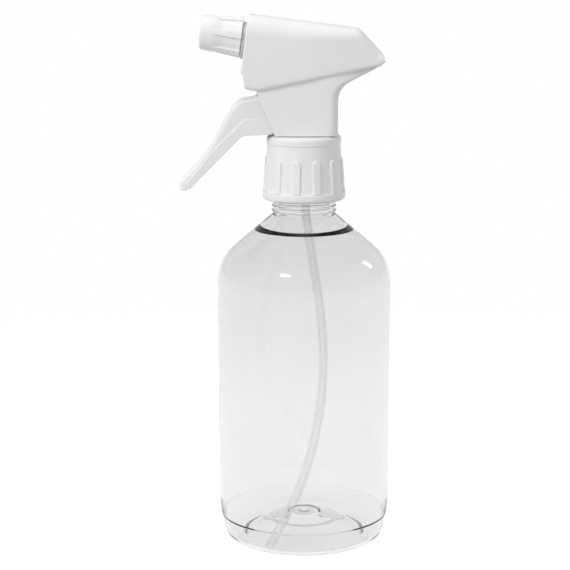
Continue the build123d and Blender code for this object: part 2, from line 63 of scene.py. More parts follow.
def add_object(name, data):
    obj = bpy.data.objects.new(name, data)
    bpy.context.scene.collection.objects.link(obj)
    return obj


# ------------------------------------------------------------ camera
CAMERA_DISTANCE = 0.771
CAMERA_HEIGHT = 0.264
CAMERA_PITCH_DEG = 11.3
CAMERA_LENS = 116.8
CAMERA_SHIFT = -0.0333
CAMERA_SENSOR = 36
CAMERA_REACH = 50


def place_camera():
    camera = add_object("camera", bpy.data.cameras.new("camera"))
    camera.location = (0, -CAMERA_DISTANCE, CAMERA_HEIGHT)
    camera.rotation_euler = (math.radians(90 - CAMERA_PITCH_DEG), 0, 0)
    camera.data.sensor_width = CAMERA_SENSOR
    camera.data.lens = CAMERA_LENS
    camera.data.shift_x = CAMERA_SHIFT
    camera.data.clip_end = CAMERA_REACH
    bpy.context.scene.camera = camera


# ------------------------------------------------------------ outlines and meshes
def rounded(points, radii, closed=False, degrees=9.0):
    """An outline with corner i rounded to radii[i], as a list of 2-D points."""
    count = len(points)
    path = []
    for i, corner in enumerate(points):
        corner = Vector(corner)
        inside = closed or 0 < i < count - 1
        radius = radii[i] if inside else 0
        if radius <= 0:
            path.append(corner)
            continue
        before = Vector(points[i - 1]) - corner
        after = Vector(points[(i + 1) % count]) - corner
        half = before.angle(after) / 2
        reach = min(radius / math.tan(half), 0.49 * before.length, 0.49 * after.length)
        radius = reach * math.tan(half)
        middle = corner + (before.normalized() + after.normalized()).normalized() * radius / math.sin(half)
        start = corner + before.normalized() * reach - middle
        turn = (corner + after.normalized() * reach - middle).angle_signed(start)
        steps = max(2, round(math.degrees(abs(turn)) / degrees))
        for k in range(steps + 1):
            spin = turn * k / steps
            cos, sin = math.cos(spin), math.sin(spin)
            path.append(middle + Vector((start.x * cos - start.y * sin, start.x * sin + start.y * cos)))
    return path


def split_run(a, b, steps):
    """The run from a to b in equal steps, without b itself."""
    return [a.lerp(b, k / steps) for k in range(steps)]


def divided(path, longest_at):
    """The same open outline with every run no longer than longest_at says for its two ends."""
    out = []
    for a, b in zip(path, path[1:]):
        out += split_run(a, b, max(1, math.ceil((b - a).length / longest_at(a, b))))
    return out + [path[-1]]


def quarter_turn(steps, first=0):
    """The sine and cosine of even steps over a right angle."""
    turns = [math.pi / 2 * k / steps for k in range(first, steps + 1)]
    return [(math.sin(a), math.cos(a)) for a in turns]


def smooth_step(value, low, high):
    share = min(1.0, max(0.0, (value - low) / max(high - low, TINY)))
    return share * share * (3 - 2 * share)


def tidy(bm, crease_deg):
    """Merges doubles, drops slivers, turns all faces outwards and marks the hard edges."""
    bmesh.ops.remove_doubles(bm, verts=bm.verts, dist=MERGE_M)
    bmesh.ops.dissolve_degenerate(bm, dist=SLIVER_M, edges=bm.edges)
    bmesh.ops.recalc_face_normals(bm, faces=bm.faces)
    for face in bm.faces:
        face.smooth = True
    limit = math.radians(crease_deg)
    for edge in bm.edges:
        edge.smooth = len(edge.link_faces) == 2 and edge.calc_face_angle(0) < limit


def piece_from(name, bm, material, crease_deg=PIECE_CREASE_DEG):
    tidy(bm, crease_deg)
    mesh = bpy.data.meshes.new(name)
    bm.to_mesh(mesh)
    bm.free()
    mesh.materials.append(material)
    return add_object(name, mesh)


def new_verts(bm, row):
    return [bm.verts.new([c * MM for c in p]) for p in row]


def skin(bm, rows, around=False, along=False):
    """Faces between rows of points. around joins each row's ends, along joins the last row to the first."""
    grid = [new_verts(bm, row) for row in rows]
    row_pairs = list(zip(grid, grid[1:])) + ([(grid[-1], grid[0])] if along else [])
    for low, high in row_pairs:
        count = len(low)
        for j in range(count if around else count - 1):
            k = (j + 1) % count
            bm.faces.new((low[j], low[k], high[k], high[j]))


def lathe_rows(profile, angles, shape):
    """Rings of points from a (radius, height) profile; shape gives the radius point by point."""
    rows = []
    for r, z in profile:
        row = []
        for a in angles:
            shaped = shape(r, z, a)
            row.append((shaped * math.cos(a), shaped * math.sin(a), z))
        rows.append(row)
    return rows


def even_angles(count):
    return [TAU * i / count for i in range(count)]


def repeated_angles(count, first_deg, offsets_deg):
    """The same uneven angles about each of count places, so that edges fall where a rib or flute has its sides."""
    return [math.radians(first_deg + i * (360 / count) + off) for i in range(count) for off in offsets_deg]


def in_metres(sizes):
    return {label: size * MM for label, size in sizes.items()}


def finish_edges(obj, wall, bevel=None):
    """Gives a skin its wall, inwards, and eases its rims; both are applied to the mesh."""
    solid = obj.modifiers.new("wall", "SOLIDIFY")
    solid.thickness = wall * MM
    solid.offset = -1
    if bevel:
        ease = obj.modifiers.new("rim", "BEVEL")
        ease.width = bevel * MM
        ease.segments = 3
        ease.limit_method = "ANGLE"
        ease.angle_limit = math.radians(RIM_ANGLE_DEG)
    bake(obj)


def bake(obj):
    """Applies the modifiers, so that the object holds a plain mesh."""
    graph = bpy.context.evaluated_depsgraph_get()
    graph.update()
    mesh = bpy.data.meshes.new_from_object(obj.evaluated_get(graph), depsgraph=graph)
    mesh.name = obj.name
    obj.modifiers.clear()
    obj.data = mesh
    bm = bmesh.new()
    bm.from_mesh(mesh)
    tidy(bm, FINISHED_CREASE_DEG)
    bm.to_mesh(mesh)
    bm.free()


# ------------------------------------------------------------ geometry node trees
def new_tree(name, inputs):
    """A tree with a geometry input and output and one named input for each size."""
    tree = bpy.data.node_groups.new(name, "GeometryNodeTree")
    tree.interface.new_socket("Geometry", in_out="INPUT", socket_type="NodeSocketGeometry")
    tree.interface.new_socket("Geometry", in_out="OUTPUT", socket_type="NodeSocketGeometry")
    for label, value in inputs.items():
        kind = "NodeSocketInt" if isinstance(value, int) else "NodeSocketFloat"
        tree.interface.new_socket(label, in_out="INPUT", socket_type=kind).default_value = value
    return tree, tree.nodes.new("NodeGroupInput")


def node(tree, kind, links=(), **settings):
    """Adds a node, sets its properties, and feeds its inputs from sockets or plain values."""
    made = tree.nodes.new(kind)
    for key, value in settings.items():
        setattr(made, key, value)
    for key, value in dict(links).items():
        if isinstance(value, bpy.types.NodeSocket):
            tree.links.new(value, made.inputs[key])
        else:
            made.inputs[key].default_value = value
    return made


def calc(tree, operation, *values):
    return node(tree, "ShaderNodeMath", {i: v for i, v in enumerate(values)}, operation=operation).outputs[0]


def product(tree, a, b):
    return calc(tree, "MULTIPLY", a, b)


def hypotenuse(tree, a, b):
    return calc(tree, "SQRT", calc(tree, "ADD", product(tree, a, a), product(tree, b, b)))


def ranged(tree, value, start, end, low=0.0, high=1.0, smooth=False):
    """Brings a value from the range start..end to the range low..high, held at both ends."""
    links = {"Value": value, "From Min": start, "From Max": end, "To Min": low, "To Max": high}
    kind = "SMOOTHSTEP" if smooth else "LINEAR"
    return node(tree, "ShaderNodeMapRange", links, interpolation_type=kind).outputs[0]


def end_tree(tree, geometry, material):
    real = node(tree, "GeometryNodeRealizeInstances", {"Geometry": geometry})
    paint = node(tree, "GeometryNodeSetMaterial", {"Geometry": real.outputs[0], "Material": material})
    node(tree, "NodeGroupOutput", {"Geometry": paint.outputs[0]})


def grow(obj, tree, inputs):
    """Runs a tree on the object with these named inputs and keeps the result as a plain mesh."""
    modifier = obj.modifiers.new(tree.name, "NODES")
    modifier.node_group = tree
    for item in tree.interface.items_tree:
        if item.in_out == "INPUT" and item.name in inputs:
            modifier[item.identifier] = inputs[item.name]
    bake(obj)
    return obj


def empty_piece(name, material):
    mesh = bpy.data.meshes.new(name)
    mesh.materials.append(material)
    return add_object(name, mesh)


def outward_move(tree, geometry, position, radius, change):
    """Moves points along their own radius about Z by change."""
    scale = calc(tree, "DIVIDE", change, radius)
    flat = node(tree, "ShaderNodeVectorMath", {0: position, 1: (1, 1, 0)}, operation="MULTIPLY")
    step = node(tree, "ShaderNodeVectorMath", {0: flat.outputs[0], "Scale": scale}, operation="SCALE")
    return node(tree, "GeometryNodeSetPosition", {"Geometry": geometry, "Offset": step.outputs[0]}).outputs[0]


def around_axis(tree, count, first):
    """Each point's position, its radius about Z, its height, and its angle from the nearest of count places."""
    position = node(tree, "GeometryNodeInputPosition").outputs[0]
    parts = node(tree, "ShaderNodeSeparateXYZ", {0: position})
    x, y, z = parts.outputs
    radius = hypotenuse(tree, x, y)
    angle = calc(tree, "SUBTRACT", calc(tree, "ARCTAN2", y, x), first)
    half = calc(tree, "DIVIDE", math.pi, count)
    offset = calc(tree, "WRAP", angle, half, product(tree, half, -1.0))
    return position, radius, z, offset


def rib_tree(material):
    """Grip ribs with round tops, raised from a turned wall."""
    tree, sizes = new_tree(
        "grip_ribs",
        {"Count": 12, "First": 0.0, "Width": 0.003, "Height": 0.0006, "Top": 0.16, "Foot": 0.15, "Inside": 0.015,
         "Edge": 0.0002},
    )
    s = sizes.outputs
    position, radius, z, offset = around_axis(tree, s["Count"], s["First"])
    sideways = product(tree, radius, offset)
    half = product(tree, s["Width"], 0.5)
    over = calc(tree, "MAXIMUM", calc(tree, "SUBTRACT", z, calc(tree, "SUBTRACT", s["Top"], half)), 0.0)
    beyond = calc(tree, "SUBTRACT", hypotenuse(tree, sideways, over), half)
    edge = product(tree, s["Edge"], -1.0)
    share = ranged(tree, beyond, edge, s["Edge"], 1.0, 0.0, smooth=True)
    above_foot = calc(tree, "GREATER_THAN", z, s["Foot"])
    outside = calc(tree, "GREATER_THAN", radius, s["Inside"])
    change = product(tree, product(tree, share, s["Height"]), product(tree, above_foot, outside))
    end_tree(tree, outward_move(tree, s["Geometry"], position, radius, change), material)
    return tree


def flute_tree(material):
    """Shallow grip flutes in a turned wall, open at its rear end and run out to nothing at their front."""
    tree, sizes = new_tree(
        "grip_flutes",
        {"Count": 6, "First": 0.0, "Width": 0.005, "Depth": 0.001, "Length": 0.0116, "Runout": 0.003,
         "Inside": 0.0062, "Edge": 0.0002},
    )
    s = sizes.outputs
    position, radius, z, offset = around_axis(tree, s["Count"], s["First"])
    sideways = calc(tree, "ABSOLUTE", product(tree, radius, calc(tree, "SINE", offset)))
    beyond = calc(tree, "SUBTRACT", sideways, product(tree, s["Width"], 0.5))
    edge = product(tree, s["Edge"], -1.0)
    across = ranged(tree, beyond, edge, s["Edge"], 1.0, 0.0, smooth=True)
    along = ranged(tree, calc(tree, "ADD", z, s["Length"]), 0.0, s["Runout"], smooth=True)
    outside = calc(tree, "GREATER_THAN", radius, s["Inside"])
    drop = product(tree, product(tree, across, along), product(tree, s["Depth"], -1.0))
    change = product(tree, drop, outside)
    end_tree(tree, outward_move(tree, s["Geometry"], position, radius, change), material)
    return tree


def coil_tree(material):
    """A coil spring about Z that starts at z = 0."""
    tree, sizes = new_tree(
        "coil_spring", {"Turns": 6.0, "Mean radius": 0.0036, "Wire radius": 0.0004, "Length": 0.01, "Steps": 40}
    )
    s = sizes.outputs
    spiral = node(tree, "GeometryNodeCurveSpiral", {
        "Resolution": s["Steps"], "Rotations": s["Turns"], "Start Radius": s["Mean radius"],
        "End Radius": s["Mean radius"], "Height": s["Length"]})
    wire = node(tree, "GeometryNodeCurvePrimitiveCircle", {"Resolution": 10, "Radius": s["Wire radius"]})
    solid = node(tree, "GeometryNodeCurveToMesh", {
        "Curve": spiral.outputs[0], "Profile Curve": wire.outputs[0], "Fill Caps": True})
    end_tree(tree, solid.outputs[0], material)
    return tree


# ------------------------------------------------------------ materials
def new_material(name):
    material = bpy.data.materials.new(name)
    material.use_nodes = True
    tree = material.node_tree
    return material, tree, tree.nodes["Principled BSDF"]


def object_noise(tree, scale, detail=3.0, stretch=(1, 1, 1)):
    place = node(tree, "ShaderNodeTexCoord").outputs["Object"]
    mapped = node(tree, "ShaderNodeMapping", {"Vector": place, "Scale": stretch}).outputs[0]
    return node(tree, "ShaderNodeTexNoise", {"Vector": mapped, "Scale": scale, "Detail": detail}).outputs[0]


def between(tree, noise, low, high):
    """Noise stays mostly within 0.3 to 0.7; this stretches that part over low..high."""
    return ranged(tree, noise, 0.3, 0.7, low, high)


def tinted(tree, factor, colour_a, colour_b):
    """A mix of two colours, each a socket or three numbers."""
    a, b = [c if isinstance(c, bpy.types.NodeSocket) else (*c, 1) for c in (colour_a, colour_b)]
    return node(tree, "ShaderNodeMix", {0: factor, 6: a, 7: b}, data_type="RGBA").outputs[2]


def roughen(tree, shader, height, strength, distance):
    bump = node(tree, "ShaderNodeBump", {"Height": height, "Strength": strength, "Distance": distance})
    tree.links.new(bump.outputs[0], shader.inputs["Normal"])


def blend_shaders(tree, factor, first, second):
    return node(tree, "ShaderNodeMixShader", {0: factor, 1: first.outputs[0], 2: second.outputs[0]})


def show(tree, shader):
    tree.links.new(shader.outputs[0], tree.nodes["Material Output"].inputs["Surface"])


def moulded_plastic(name, colour, shade, roughness, grain, grain_size, specular=0.45):
    """Injection-moulded plastic: slight unevenness of colour, patches of gloss and a fine surface grain."""
    material, tree, shader = new_material(name)
    shader.inputs["IOR"].default_value = 1.49
    shader.inputs["Specular IOR Level"].default_value = specular
    drift = object_noise(tree, 45.0)
    darker = tuple(c * shade for c in colour)
    tree.links.new(tinted(tree, between(tree, drift, 0, 1), darker, colour), shader.inputs["Base Color"])
    patches = object_noise(tree, 160.0, 4.0)
    tree.links.new(between(tree, patches, roughness * 0.85, roughness * 1.15), shader.inputs["Roughness"])
    roughen(tree, shader, object_noise(tree, 1 / (grain_size * MM), 4.0), grain, 0.00012)
    return material


def clear_plastic(name):
    """Blown clear plastic: light passes through, the wall ripples a little, and its shadow is only a light one."""
    material, tree, shader = new_material(name)
    shader.inputs["Transmission Weight"].default_value = 1.0
    shader.inputs["IOR"].default_value = 1.5
    wash = between(tree, object_noise(tree, 30.0), 0, 1)
    # The shoulder and the base are tinted darker than the body: this is painted shade, where those slopes look darker
    # under the studio light.
    body_tint = tinted(tree, wash, (0.862, 0.866, 0.867), (0.882, 0.885, 0.886))
    painted_shade_tint = tinted(tree, wash, (0.825, 0.829, 0.83), (0.84, 0.843, 0.844))
    place = node(tree, "ShaderNodeTexCoord").outputs["Object"]
    height = node(tree, "ShaderNodeSeparateXYZ", {0: place}).outputs[2]
    painted_shoulder_shade = ranged(tree, height, 0.108, 0.116)
    base = ranged(tree, height, 0.012, 0.008)
    wall = tinted(tree, calc(tree, "MAXIMUM", painted_shoulder_shade, base), body_tint, painted_shade_tint)
    tree.links.new(wall, shader.inputs["Base Color"])
    tree.links.new(between(tree, object_noise(tree, 220.0), 0.0, 0.02), shader.inputs["Roughness"])
    roughen(tree, shader, object_noise(tree, 40.0, 2.0, (1, 1, 0.4)), 0.05, 0.0008)
    rays = node(tree, "ShaderNodeLightPath").outputs
    soft = calc(tree, "MAXIMUM", rays["Is Shadow Ray"], rays["Is Diffuse Ray"])
    pane = node(tree, "ShaderNodeBsdfTransparent", {"Color": (0.96, 0.965, 0.965, 1)})
    show(tree, blend_shaders(tree, soft, shader, pane))
    return material


def milky_plastic(name):
    """Undyed tube: cloudy at its edges, and what is behind shows through its middle."""
    material, tree, shader = new_material(name)
    shader.inputs["IOR"].default_value = 1.5
    shader.inputs["Specular IOR Level"].default_value = 0.6
    cloud = object_noise(tree, 90.0, 3.0, (1, 1, 0.3))
    tree.links.new(tinted(tree, between(tree, cloud, 0, 1), (0.95, 0.955, 0.955), (0.985, 0.987, 0.987)),
                   shader.inputs["Base Color"])
    tree.links.new(between(tree, cloud, 0.14, 0.2), shader.inputs["Roughness"])
    roughen(tree, shader, object_noise(tree, 1500.0), 0.05, 0.00005)
    facing = node(tree, "ShaderNodeLayerWeight", {"Blend": 0.5}).outputs["Facing"]
    solid = ranged(tree, facing, 0.2, 0.9, 0.12, 0.42)
    through = node(tree, "ShaderNodeBsdfTransparent", {"Color": (1, 1, 1, 1)})
    show(tree, blend_shaders(tree, solid, through, shader))
    return material


def spring_steel(name):
    """Drawn steel wire and ball: grey, with faint streaks."""
    material, tree, shader = new_material(name)
    shader.inputs["Metallic"].default_value = 1.0
    draw = object_noise(tree, 700.0, 3.0)
    tree.links.new(tinted(tree, between(tree, draw, 0, 1), (0.55, 0.55, 0.54), (0.68, 0.68, 0.67)),
                   shader.inputs["Base Color"])
    tree.links.new(between(tree, draw, 0.2, 0.36), shader.inputs["Roughness"])
    roughen(tree, shader, draw, 0.15, 0.00005)
    return material


PET = clear_plastic("clear_bottle_plastic")
CLOSURE_WHITE = moulded_plastic("closure_white", (0.93, 0.93, 0.932), 0.985, 0.34, 0.05, 0.8)
HEAD_WHITE = moulded_plastic("head_white", (0.91, 0.912, 0.915), 0.98, 0.5, 0.12, 0.6)
NOZZLE_WHITE = moulded_plastic("nozzle_white", (0.92, 0.922, 0.925), 0.985, 0.3, 0.06, 0.8)
TUBE_MILKY = milky_plastic("tube_milky")
INNER_NATURAL = moulded_plastic("inner_natural", (0.88, 0.88, 0.86), 0.97, 0.42, 0.12, 0.6)
# The barrel is white plastic; its grey is painted shade, where its collar sits in the shadow between the nozzle and the
# shroud.
BARREL_PAINTED_SHADE = moulded_plastic("barrel_painted_shade", (0.6, 0.6, 0.602), 0.97, 0.4, 0.1, 0.6)
SEAL_SOFT = moulded_plastic("seal_soft", (0.84, 0.84, 0.82), 0.96, 0.62, 0.2, 0.35, 0.3)
STEEL = spring_steel("spring_steel")


# ------------------------------------------------------------ bottle
THREAD_FADE = 0.08
NECK_THREAD = {"start": 158.3, "turns": 1.5, "pitch": 4.233, "root_half": 1.1, "crest_half": 0.5}
NECK_THREAD_HEIGHT = 0.95
CAP_THREAD = {"start": 156.55, "turns": 1.5, "pitch": 4.233, "root_half": 0.95, "crest_half": 0.45}
CAP_THREAD_HEIGHT = 0.9
NOZZLE_THREAD = {"start": -7.0, "turns": 1.5, "pitch": 2.0, "root_half": 0.55, "crest_half": 0.2}
NOZZLE_THREAD_HEIGHT = 0.6


def helical_ridge(z, angle, start, turns, pitch, root_half, crest_half):
    """How much of the thread's height stands at this place, from 0 to 1."""
    base = (angle % TAU) / TAU
    best = 0.0
    for whole in range(math.ceil(turns) + 1):
        turn = base + whole
        ends = smooth_step(turn, 0, THREAD_FADE) * (1 - smooth_step(turn, turns - THREAD_FADE, turns))
        off = abs(z - start - pitch * turn)
        best = max(best, ends * (1 - smooth_step(off, crest_half, root_half)))
    return best


BOTTLE_OUTSIDE = [
    (0, 8.8), (1.8, 8.8), (2.1, 9.2), (6.2, 9.0), (7.0, 8.4), (14.0, 6.6), (20.5, 3.0), (26.0, 0.0), (33.2, 0),
    (35.5, 10.1), (35.85, 10.4), (36.5, 18.0), (36.5, 121.0), (13.1, 141.0), (13.1, 142.1), (13.5, 142.2),
    (13.5, 142.8), (13.1, 142.9), (13.1, 144.0), (13.5, 144.1), (13.5, 144.7), (13.1, 144.8), (13.1, 145.9),
    (13.5, 146.0), (13.5, 146.6), (13.1, 146.7), (13.1, 150.2), (12.75, 150.2), (12.75, 168.2),
]
BOTTLE_OUTSIDE_ROUND = [
    0, 0.3, 0.3, 0.6, 0.9, 8, 8, 1.5, 4.0, 0.2, 0.15, 8, 18.0, 2.5, 0.2, 0.2, 0.2, 0.2, 0.2, 0.2, 0.2, 0.2, 0.2, 0.2,
    0.2, 0.2, 0.4, 0.4, 0.5,
]
BOTTLE_INSIDE = [
    (10.85, 168.2), (10.85, 141.0), (17.4, 134.8), (20.2, 133.7), (35.6, 120.4), (35.6, 18.0), (34.85, 11.0),
    (34.4, 10.1), (32.3, 0.9), (24.6, 1.5), (14.4, 8.0), (7.5, 10.2), (2.4, 10.6), (0, 10.6),
]
BOTTLE_INSIDE_ROUND = [0.5, 3.0, 2.5, 2.5, 17.1, 8, 0.3, 0.5, 3.2, 3.0, 4, 2.0, 1.0, 0]
BOTTLE_SIDES = 160
BOTTLE_CREASE_DEG = 60.0
NECK_OUTSIDE_OVER = 12.7
NECK_FOOT_Z = 149
NECK_THREAD_ZONE = (155, 168)


def make_bottle():
    profile = rounded(BOTTLE_OUTSIDE + BOTTLE_INSIDE, BOTTLE_OUTSIDE_ROUND + BOTTLE_INSIDE_ROUND, degrees=7.0)

    def longest_at(a, b):
        threaded = min(a.x, b.x) > NECK_OUTSIDE_OVER and min(a.y, b.y) > NECK_FOOT_Z
        return 0.35 if threaded else 3.5

    def shape(r, z, angle):
        if r > NECK_OUTSIDE_OVER and NECK_THREAD_ZONE[0] < z < NECK_THREAD_ZONE[1]:
            return r + NECK_THREAD_HEIGHT * helical_ridge(z, angle, **NECK_THREAD)
        return r

    bm = bmesh.new()
    skin(bm, lathe_rows(divided(profile, longest_at), even_angles(BOTTLE_SIDES), shape), around=True)
    bottle = piece_from("clear_bottle", bm, PET, BOTTLE_CREASE_DEG)
    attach(bottle, "bottle")
    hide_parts("bottle")


# ------------------------------------------------------------ closure
CLOSURE_OUTSIDE_OVER = 15.2
CLOSURE_BORE_UNDER = 14.1
CLOSURE_THREAD_ZONE = (150, 168)
CLOSURE_BORE_STEPS = 70
LONG_RUN = 10
SKIRT_SHARES = [0, 0.1, 0.25, 0.4, 0.5] + [0.6 + 0.012 * k for k in range(10)] + [0.76, 0.85, 0.93]
RIB_COUNT = 12
RIB_FIRST_DEG = -71.0
RIB_SIZES = {"Width": 3.2, "Height": 0.7, "Top": 164.8, "Foot": 150.95, "Inside": 15.1, "Edge": 0.18}
RIB_OFFSETS_DEG = (-13.6, -11.2, -8.8, -7.0, -5.9, -5.3, -4.7, -4.2, -2.4, 0.0, 2.4, 4.2, 4.7, 5.3, 5.9, 7.0, 8.8, 11.2)


def make_closure():
    corners = [
        (14.0, 147.1), (17.45, 147.1), (17.45, 150.8), (16.6, 150.9), (15.3, 170.5), (15.6, 170.8),
        (15.6, 174.2), (10.3, 174.2), (10.3, 172.2), (14.0, 172.2),
    ]
    profile = rounded(corners, [0.25, 1.6, 0.55, 0.35, 0.12, 0.3, 2.2, 0.4, 0.3, 0.5], closed=True, degrees=12.0)
    dense = []
    for a, b in zip(profile, profile[1:] + profile[:1]):
        long_run = abs(a.y - b.y) > LONG_RUN
        if long_run and min(a.x, b.x) > CLOSURE_OUTSIDE_OVER:
            dense += [a.lerp(b, share) for share in SKIRT_SHARES]
        elif long_run and max(a.x, b.x) < CLOSURE_BORE_UNDER:
            dense += split_run(a, b, CLOSURE_BORE_STEPS)
        else:
            dense.append(a)

    def shape(r, z, angle):
        if r < CLOSURE_BORE_UNDER and CLOSURE_THREAD_ZONE[0] < z < CLOSURE_THREAD_ZONE[1]:
            return r - CAP_THREAD_HEIGHT * helical_ridge(z, angle, **CAP_THREAD)
        return r

    bm = bmesh.new()
    angles = repeated_angles(RIB_COUNT, RIB_FIRST_DEG, RIB_OFFSETS_DEG)
    skin(bm, lathe_rows(dense, angles, shape), around=True, along=True)
    closure = piece_from("screw_closure", bm, CLOSURE_WHITE)
    closure = grow(closure, rib_tree(CLOSURE_WHITE), {
        "Count": RIB_COUNT, "First": math.radians(RIB_FIRST_DEG), **in_metres(RIB_SIZES)})
    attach(closure, "closure")
    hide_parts("closure_cap")


# ------------------------------------------------------------ the head's tilted axis
HEAD_TILT = math.radians(7.6)
NOZZLE_REAR = (-25.7, 214.5)


def on_axis(u, w):
    """The (x, z) place of a point u along the head's axis, to the rear, and w above it."""
    x = NOZZLE_REAR[0] + u * math.cos(HEAD_TILT) + w * math.sin(HEAD_TILT)
    return x, NOZZLE_REAR[1] - u * math.sin(HEAD_TILT) + w * math.cos(HEAD_TILT)


def along_axis(x, z):
    """The (u, w) of a place, which on_axis turns back into (x, z)."""
    x, z = x - NOZZLE_REAR[0], z - NOZZLE_REAR[1]
    cos, sin = math.cos(HEAD_TILT), math.sin(HEAD_TILT)
    return x * cos - z * sin, x * sin + z * cos


def to_head(obj, u=0.0):
    """Lays a mesh made about Z along the head's axis, its Z to the rear from u."""
    x, z = on_axis(u, 0)
    cos, sin = math.cos(math.pi / 2 + HEAD_TILT), math.sin(math.pi / 2 + HEAD_TILT)
    for vert in obj.data.vertices:
        a, b, c = vert.co
        vert.co = (x * MM + a * cos + c * sin, b, z * MM - a * sin + c * cos)


# ------------------------------------------------------------ nozzle
FLUTE_COUNT = 6
FLUTE_FIRST_DEG = 50.0
FLUTE_SIZES = {"Width": 5.4, "Depth": 0.95, "Length": 12.6, "Runout": 5.0, "Inside": 6.3, "Edge": 0.1}
NOZZLE_LENGTH = 17.4
NOZZLE_OUTSIDE_OVER = 6.8
NOZZLE_BORE = 5.8
NOZZLE_LONG_RUN = 8
NOZZLE_THREAD_ZONE = (-9, -1)
FLUTE_OFFSETS_DEG = (-28, -25.5, -24, -22.6, -21.4, -20.6, -19.8, -19.0, -18.2, -17.4, -16.4, -12, -8, -4, 0, 4, 8, 12,
                     16.4, 17.4, 18.2, 19.0, 19.8, 20.6, 21.4, 22.6, 24, 25.5)


def make_nozzle():
    front = -NOZZLE_LENGTH
    corners = [
        (0.35, front + 0.5), (2.0, front + 0.5), (2.2, front), (6.95, front), (8.75, 0), (NOZZLE_BORE, 0),
        (NOZZLE_BORE, -14.4), (0.35, -14.4),
    ]
    profile = rounded(corners, [0.1, 0.15, 0.2, 1.3, 0.4, 0.3, 0.3, 0.1], closed=True, degrees=11.0)
    dense = []
    for a, b in zip(profile, profile[1:] + profile[:1]):
        long_run = abs(a.y - b.y) > NOZZLE_LONG_RUN
        if long_run and min(a.x, b.x) > NOZZLE_OUTSIDE_OVER:
            dense += split_run(a, b, 28)
        elif long_run and max(a.x, b.x) < NOZZLE_BORE + 0.1:
            dense += split_run(a, b, 40)
        else:
            dense.append(a)

    def shape(r, z, angle):
        if abs(r - NOZZLE_BORE) < 0.05 and NOZZLE_THREAD_ZONE[0] < z < NOZZLE_THREAD_ZONE[1]:
            return r - NOZZLE_THREAD_HEIGHT * helical_ridge(z, angle, **NOZZLE_THREAD)
        return r

    bm = bmesh.new()
    angles = repeated_angles(FLUTE_COUNT, FLUTE_FIRST_DEG, FLUTE_OFFSETS_DEG)
    skin(bm, lathe_rows(dense, angles, shape), around=True, along=True)
    nozzle = piece_from("spray_nozzle", bm, NOZZLE_WHITE)
    nozzle = grow(nozzle, flute_tree(NOZZLE_WHITE), {
        "Count": FLUTE_COUNT, "First": math.radians(FLUTE_FIRST_DEG), **in_metres(FLUTE_SIZES)})
    to_head(nozzle)
    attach(nozzle, "nozzle")
    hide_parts("nozzle_cap")


# ------------------------------------------------------------ shroud
SHROUD_SIDE = [(1.6, 10.1), (47.8, 10.1), (62.6, -2.1), (9.0, -20.5), (3.9, -20.0), (1.6, -11.5)]
SHROUD_SIDE_ROUND = [0.6, 4.0, 3.0, 0.8, 0.9, 5.0]
SHROUD_HALF = 12.2
SHROUD_TOP_SIZE = 8.0
SHROUD_LIP = 1.8
SHROUD_WALL = 1.4
SHROUD_EDGE = 0.7
SHROUD_CROWN = 0.25
SHROUD_OPEN = (8.2, 57.0)
SHROUD_OPEN_HALF = 10.5
SHROUD_TAIL = 57.4
SHROUD_TAIL_LENGTH = 4.2
SHROUD_TAIL_ROUND = 3.0
SHROUD_FRONT_STEPS = (0.9, 1.2, 1.6, 2.0, 2.4, 2.9, 3.6, 4.6, 5.7, 6.6)
COLLAR_HOLE_R = 7.85
COLLAR_DROP = 1.1


def edge_heights(path, u):
    """The lowest and highest w where an upright line at u crosses the closed outline."""
    found = []
    for a, b in zip(path, path[1:] + path[:1]):
        if min(a.x, b.x) <= u <= max(a.x, b.x):
            upright = abs(b.x - a.x) < TINY
            found += [a.y, b.y] if upright else [a.lerp(b, (u - a.x) / (b.x - a.x)).y]
    return min(found), max(found)


def shroud_half_width(u):
    """Half the width in plan: straight in front, tapered to the tail, and rounded at the tail's corners."""
    x = on_axis(u, 0)[0]
    half = SHROUD_HALF - 3.2 * max(0.0, x - 5.0) / 40.0
    half -= 0.12 * smooth_step(x, 0, 10) * (1 - smooth_step(x, 5, 16))
    tail = max(0.0, u - SHROUD_TAIL) / SHROUD_TAIL_LENGTH
    return half - SHROUD_TAIL_ROUND * (1 - math.sqrt(max(0.0, 1 - min(1.0, tail) ** 2)))


def shroud_ring(u, low, high, half, inset=0.0):
    """A closed ring across the shroud: flat below, upright sides, and a large round to a crowned top."""
    low, high, half = low + inset, high - inset, half - inset
    tall = max(0.0, high - low)
    size = SHROUD_TOP_SIZE - 3.5 * smooth_step(u, 18, 46)
    top = min(size - inset, tall * 0.62, half)
    lip = min(max(0.05, SHROUD_LIP - inset), tall * 0.3)
    right = [(0, low), (half * 0.3, low), (half * 0.6, low), (min(SHROUD_OPEN_HALF, half - lip - 0.02), low)]
    right += [(half - lip + lip * sin, low + lip - lip * cos) for sin, cos in quarter_turn(6)]
    side_low, side_high = low + lip, high - top
    right += [(half, side_low + (side_high - side_low) * k / 8) for k in range(1, 8)]
    flat = half - top
    right += [(flat + top * cos, high - top + top * sin) for sin, cos in quarter_turn(12)]
    right += [(flat * 0.66, high), (flat * 0.33, high), (0, high)]
    crown = SHROUD_CROWN * min(1.0, tall / 10)
    shaped = []
    for y, w in right:
        sag = crown * (y / half) ** 2 if w > high - top - 1e-6 and half > 0 else 0.0
        shaped.append((y, w - sag * smooth_step(w, high - top, high)))
    left = [(-y, w) for y, w in reversed(shaped[1:-1])]
    ring = [(on_axis(u, w), y) for y, w in shaped + left]
    return [(x, y, z) for (x, z), y in ring]


